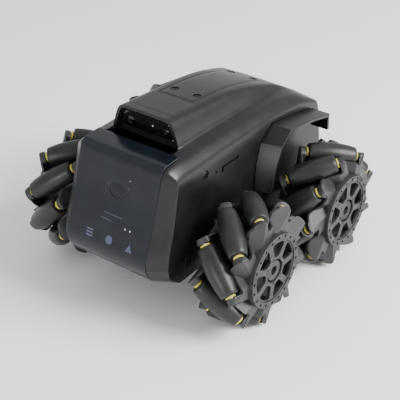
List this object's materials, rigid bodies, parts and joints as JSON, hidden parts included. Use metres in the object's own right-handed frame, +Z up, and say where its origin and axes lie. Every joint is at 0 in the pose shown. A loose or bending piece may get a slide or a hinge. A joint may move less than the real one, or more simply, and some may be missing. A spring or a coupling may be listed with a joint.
{
  "type": "mecanum wheel robot",
  "caption": "Small omnidirectional robot with a leaning smoked screen, a hooded sensor, a ridged black shell and mecanum wheels whose barrel rollers spin freely.",
  "frame": {"origin": "on the floor, below the middle of the robot's overall outline", "axes": "+Z up; the robot drives towards -Y, where its screen faces; +X is the robot's left, along the wheel axles"},
  "size_m": [0.2066, 0.2118, 0.1496],
  "materials": {
    "shell_black": "semi-gloss moulded ABS with a fine even texture",
    "chassis_black": "satin moulded ABS",
    "smoked_panel": "polished smoked acrylic over a dark display",
    "dark_lens": "glossy black lens and screen faces",
    "wheel_nylon": "glass-filled nylon, matte with a grey sheen",
    "roller_rubber": "satin black moulded rubber",
    "motor_steel": "plated steel cans and shafts",
    "circuit_board": "solder-masked glass-epoxy board",
    "battery_wrap": "shrink-wrapped cell pack"
  },
  "bodies": {
    "chassis": {"upper_shell": "shell_black", "top_hatch": "shell_black", "fender_left": "shell_black", "fender_right": "shell_black", "front_window": "smoked_panel", "chin_bumper": "chassis_black", "chassis_tub": "chassis_black", "rear_panel": "chassis_black", "sensor_module": "dark_lens", "display_module": "dark_lens", "main_board": "circuit_board", "battery_pack": "battery_wrap", "gearmotor_fl": "motor_steel", "gearmotor_fr": "motor_steel", "gearmotor_rl": "motor_steel", "gearmotor_rr": "motor_steel"},
    "wheel_fl": {"wheel_hub_fl": "wheel_nylon", "drive_shaft_fl": "motor_steel"},
    "wheel_fr": {"wheel_hub_fr": "wheel_nylon", "drive_shaft_fr": "motor_steel"},
    "wheel_rl": {"wheel_hub_rl": "wheel_nylon", "drive_shaft_rl": "motor_steel"},
    "wheel_rr": {"wheel_hub_rr": "wheel_nylon", "drive_shaft_rr": "motor_steel"},
    "roller_fl_01": {"roller_fl_01": "roller_rubber"},
    "roller_fl_02": {"roller_fl_02": "roller_rubber"},
    "roller_fl_03": {"roller_fl_03": "roller_rubber"},
    "roller_fl_04": {"roller_fl_04": "roller_rubber"},
    "roller_fl_05": {"roller_fl_05": "roller_rubber"},
    "roller_fl_06": {"roller_fl_06": "roller_rubber"},
    "roller_fl_07": {"roller_fl_07": "roller_rubber"},
    "roller_fl_08": {"roller_fl_08": "roller_rubber"},
    "roller_fl_09": {"roller_fl_09": "roller_rubber"},
    "roller_fr_01": {"roller_fr_01": "roller_rubber"},
    "roller_fr_02": {"roller_fr_02": "roller_rubber"},
    "roller_fr_03": {"roller_fr_03": "roller_rubber"},
    "roller_fr_04": {"roller_fr_04": "roller_rubber"},
    "roller_fr_05": {"roller_fr_05": "roller_rubber"},
    "roller_fr_06": {"roller_fr_06": "roller_rubber"},
    "roller_fr_07": {"roller_fr_07": "roller_rubber"},
    "roller_fr_08": {"roller_fr_08": "roller_rubber"},
    "roller_fr_09": {"roller_fr_09": "roller_rubber"},
    "roller_rl_01": {"roller_rl_01": "roller_rubber"},
    "roller_rl_02": {"roller_rl_02": "roller_rubber"},
    "roller_rl_03": {"roller_rl_03": "roller_rubber"},
    "roller_rl_04": {"roller_rl_04": "roller_rubber"},
    "roller_rl_05": {"roller_rl_05": "roller_rubber"},
    "roller_rl_06": {"roller_rl_06": "roller_rubber"},
    "roller_rl_07": {"roller_rl_07": "roller_rubber"},
    "roller_rl_08": {"roller_rl_08": "roller_rubber"},
    "roller_rl_09": {"roller_rl_09": "roller_rubber"},
    "roller_rr_01": {"roller_rr_01": "roller_rubber"},
    "roller_rr_02": {"roller_rr_02": "roller_rubber"},
    "roller_rr_03": {"roller_rr_03": "roller_rubber"},
    "roller_rr_04": {"roller_rr_04": "roller_rubber"},
    "roller_rr_05": {"roller_rr_05": "roller_rubber"},
    "roller_rr_06": {"roller_rr_06": "roller_rubber"},
    "roller_rr_07": {"roller_rr_07": "roller_rubber"},
    "roller_rr_08": {"roller_rr_08": "roller_rubber"},
    "roller_rr_09": {"roller_rr_09": "roller_rubber"}
  },
  "joints": [
    {"name": "drive_fl_spin", "type": "hinge", "parent": "chassis", "child": "wheel_fl", "pos_m": [0.0803, -0.04205, 0.0485], "axis": [1, 0, 0], "continuous": true},
    {"name": "drive_fr_spin", "type": "hinge", "parent": "chassis", "child": "wheel_fr", "pos_m": [-0.0803, -0.04205, 0.0485], "axis": [1, 0, 0], "continuous": true},
    {"name": "drive_rl_spin", "type": "hinge", "parent": "chassis", "child": "wheel_rl", "pos_m": [0.0803, 0.05745, 0.0485], "axis": [1, 0, 0], "continuous": true},
    {"name": "drive_rr_spin", "type": "hinge", "parent": "chassis", "child": "wheel_rr", "pos_m": [-0.0803, 0.05745, 0.0485], "axis": [1, 0, 0], "continuous": true},
    {"name": "roller_fl_01_spin", "type": "hinge", "parent": "wheel_fl", "child": "roller_fl_01", "pos_m": [0.0803, -0.0024, 0.05044], "axis": [0.7071, -0.0345, 0.7063], "continuous": true},
    {"name": "roller_fl_02_spin", "type": "hinge", "parent": "wheel_fl", "child": "roller_fl_02", "pos_m": [0.0803, -0.01292, 0.07547], "axis": [0.7071, -0.4804, 0.5188], "continuous": true},
    {"name": "roller_fl_03_spin", "type": "hinge", "parent": "wheel_fl", "child": "roller_fl_03", "pos_m": [0.0803, -0.03707, 0.08789], "axis": [0.7071, -0.7015, 0.0886], "continuous": true},
    {"name": "roller_fl_04_spin", "type": "hinge", "parent": "wheel_fl", "child": "roller_fl_04", "pos_m": [0.0803, -0.06356, 0.08187], "axis": [0.7071, -0.5944, -0.383], "continuous": true},
    {"name": "roller_fl_05_spin", "type": "hinge", "parent": "wheel_fl", "child": "roller_fl_05", "pos_m": [0.0803, -0.07998, 0.06024], "axis": [0.7071, -0.2091, -0.6755], "continuous": true},
    {"name": "roller_fl_06_spin", "type": "hinge", "parent": "wheel_fl", "child": "roller_fl_06", "pos_m": [0.0803, -0.07865, 0.03312], "axis": [0.7071, 0.274, -0.6519], "continuous": true},
    {"name": "roller_fl_07_spin", "type": "hinge", "parent": "wheel_fl", "child": "roller_fl_07", "pos_m": [0.0803, -0.0602, 0.01319], "axis": [0.7071, 0.6289, -0.3232], "continuous": true},
    {"name": "roller_fl_08_spin", "type": "hinge", "parent": "wheel_fl", "child": "roller_fl_08", "pos_m": [0.0803, -0.03325, 0.00979], "axis": [0.7071, 0.6895, 0.1567], "continuous": true},
    {"name": "roller_fl_09_spin", "type": "hinge", "parent": "wheel_fl", "child": "roller_fl_09", "pos_m": [0.0803, -0.01043, 0.0245], "axis": [0.7071, 0.4275, 0.5632], "continuous": true},
    {"name": "roller_rl_01_spin", "type": "hinge", "parent": "wheel_rl", "child": "roller_rl_01", "pos_m": [0.0803, 0.08936, 0.07211], "axis": [0.7071, 0.4206, -0.5684], "continuous": true},
    {"name": "roller_rl_02_spin", "type": "hinge", "parent": "wheel_rl", "child": "roller_rl_02", "pos_m": [0.0803, 0.06672, 0.0871], "axis": [0.7071, 0.6876, -0.1651], "continuous": true},
    {"name": "roller_rl_03_spin", "type": "hinge", "parent": "wheel_rl", "child": "roller_rl_03", "pos_m": [0.0803, 0.03974, 0.08403], "axis": [0.7071, 0.6328, 0.3155], "continuous": true},
    {"name": "roller_rl_04_spin", "type": "hinge", "parent": "wheel_rl", "child": "roller_rl_04", "pos_m": [0.0803, 0.02104, 0.06433], "axis": [0.7071, 0.282, 0.6485], "continuous": true},
    {"name": "roller_rl_05_spin", "type": "hinge", "parent": "wheel_rl", "child": "roller_rl_05", "pos_m": [0.0803, 0.01938, 0.03723], "axis": [0.7071, -0.2008, 0.678], "continuous": true},
    {"name": "roller_rl_06_spin", "type": "hinge", "parent": "wheel_rl", "child": "roller_rl_06", "pos_m": [0.0803, 0.03554, 0.0154], "axis": [0.7071, -0.5896, 0.3903], "continuous": true},
    {"name": "roller_rl_07_spin", "type": "hinge", "parent": "wheel_rl", "child": "roller_rl_07", "pos_m": [0.0803, 0.06194, 0.00906], "axis": [0.7071, -0.7026, -0.08], "continuous": true},
    {"name": "roller_rl_08_spin", "type": "hinge", "parent": "wheel_rl", "child": "roller_rl_08", "pos_m": [0.0803, 0.08625, 0.02117], "axis": [0.7071, -0.4867, -0.5129], "continuous": true},
    {"name": "roller_rl_09_spin", "type": "hinge", "parent": "wheel_rl", "child": "roller_rl_09", "pos_m": [0.0803, 0.09708, 0.04608], "axis": [0.7071, -0.0432, -0.7058], "continuous": true},
    {"name": "roller_fr_01_spin", "type": "hinge", "parent": "wheel_fr", "child": "roller_fr_01", "pos_m": [-0.0803, -0.00551, 0.06401], "axis": [0.7071, 0.2763, -0.6509], "continuous": true},
    {"name": "roller_fr_02_spin", "type": "hinge", "parent": "wheel_fr", "child": "roller_fr_02", "pos_m": [-0.0803, -0.02403, 0.08387], "axis": [0.7071, 0.63, -0.321], "continuous": true},
    {"name": "roller_fr_03_spin", "type": "hinge", "parent": "wheel_fr", "child": "roller_fr_03", "pos_m": [-0.0803, -0.05098, 0.08718], "axis": [0.7071, 0.689, 0.1591], "continuous": true},
    {"name": "roller_fr_04_spin", "type": "hinge", "parent": "wheel_fr", "child": "roller_fr_04", "pos_m": [-0.0803, -0.07376, 0.07239], "axis": [0.7071, 0.4255, 0.5647], "continuous": true},
    {"name": "roller_fr_05_spin", "type": "hinge", "parent": "wheel_fr", "child": "roller_fr_05", "pos_m": [-0.0803, -0.0817, 0.04642], "axis": [0.7071, -0.037, 0.7061], "continuous": true},
    {"name": "roller_fr_06_spin", "type": "hinge", "parent": "wheel_fr", "child": "roller_fr_06", "pos_m": [-0.0803, -0.07108, 0.02142], "axis": [0.7071, -0.4822, 0.5171], "continuous": true},
    {"name": "roller_fr_07_spin", "type": "hinge", "parent": "wheel_fr", "child": "roller_fr_07", "pos_m": [-0.0803, -0.04689, 0.0091], "axis": [0.7071, -0.7018, 0.0862], "continuous": true},
    {"name": "roller_fr_08_spin", "type": "hinge", "parent": "wheel_fr", "child": "roller_fr_08", "pos_m": [-0.0803, -0.02043, 0.0152], "axis": [0.7071, -0.593, -0.3851], "continuous": true},
    {"name": "roller_fr_09_spin", "type": "hinge", "parent": "wheel_fr", "child": "roller_fr_09", "pos_m": [-0.0803, -0.00409, 0.03689], "axis": [0.7071, -0.2067, -0.6762], "continuous": true},
    {"name": "roller_rr_01_spin", "type": "hinge", "parent": "wheel_rr", "child": "roller_rr_01", "pos_m": [-0.0803, 0.09628, 0.05675], "axis": [0.7071, -0.147, 0.6917], "continuous": true},
    {"name": "roller_rr_02_spin", "type": "hinge", "parent": "wheel_rr", "child": "roller_rr_02", "pos_m": [-0.0803, 0.08189, 0.07978], "axis": [0.7071, -0.5572, 0.4353], "continuous": true},
    {"name": "roller_rr_03_spin", "type": "hinge", "parent": "wheel_rr", "child": "roller_rr_03", "pos_m": [-0.0803, 0.05606, 0.08818], "axis": [0.7071, -0.7067, -0.0247], "continuous": true},
    {"name": "roller_rr_04_spin", "type": "hinge", "parent": "wheel_rr", "child": "roller_rr_04", "pos_m": [-0.0803, 0.03089, 0.078], "axis": [0.7071, -0.5255, -0.4731], "continuous": true},
    {"name": "roller_rr_05_spin", "type": "hinge", "parent": "wheel_rr", "child": "roller_rr_05", "pos_m": [-0.0803, 0.01814, 0.05402], "axis": [0.7071, -0.0984, -0.7002], "continuous": true},
    {"name": "roller_rr_06_spin", "type": "hinge", "parent": "wheel_rr", "child": "roller_rr_06", "pos_m": [-0.0803, 0.02378, 0.02746], "axis": [0.7071, 0.3747, -0.5997], "continuous": true},
    {"name": "roller_rr_07_spin", "type": "hinge", "parent": "wheel_rr", "child": "roller_rr_07", "pos_m": [-0.0803, 0.04518, 0.01074], "axis": [0.7071, 0.6725, -0.2185], "continuous": true},
    {"name": "roller_rr_08_spin", "type": "hinge", "parent": "wheel_rr", "child": "roller_rr_08", "pos_m": [-0.0803, 0.07232, 0.01169], "axis": [0.7071, 0.6556, 0.2649], "continuous": true},
    {"name": "roller_rr_09_spin", "type": "hinge", "parent": "wheel_rr", "child": "roller_rr_09", "pos_m": [-0.0803, 0.0925, 0.02986], "axis": [0.7071, 0.332, 0.6243], "continuous": true}
  ]
}
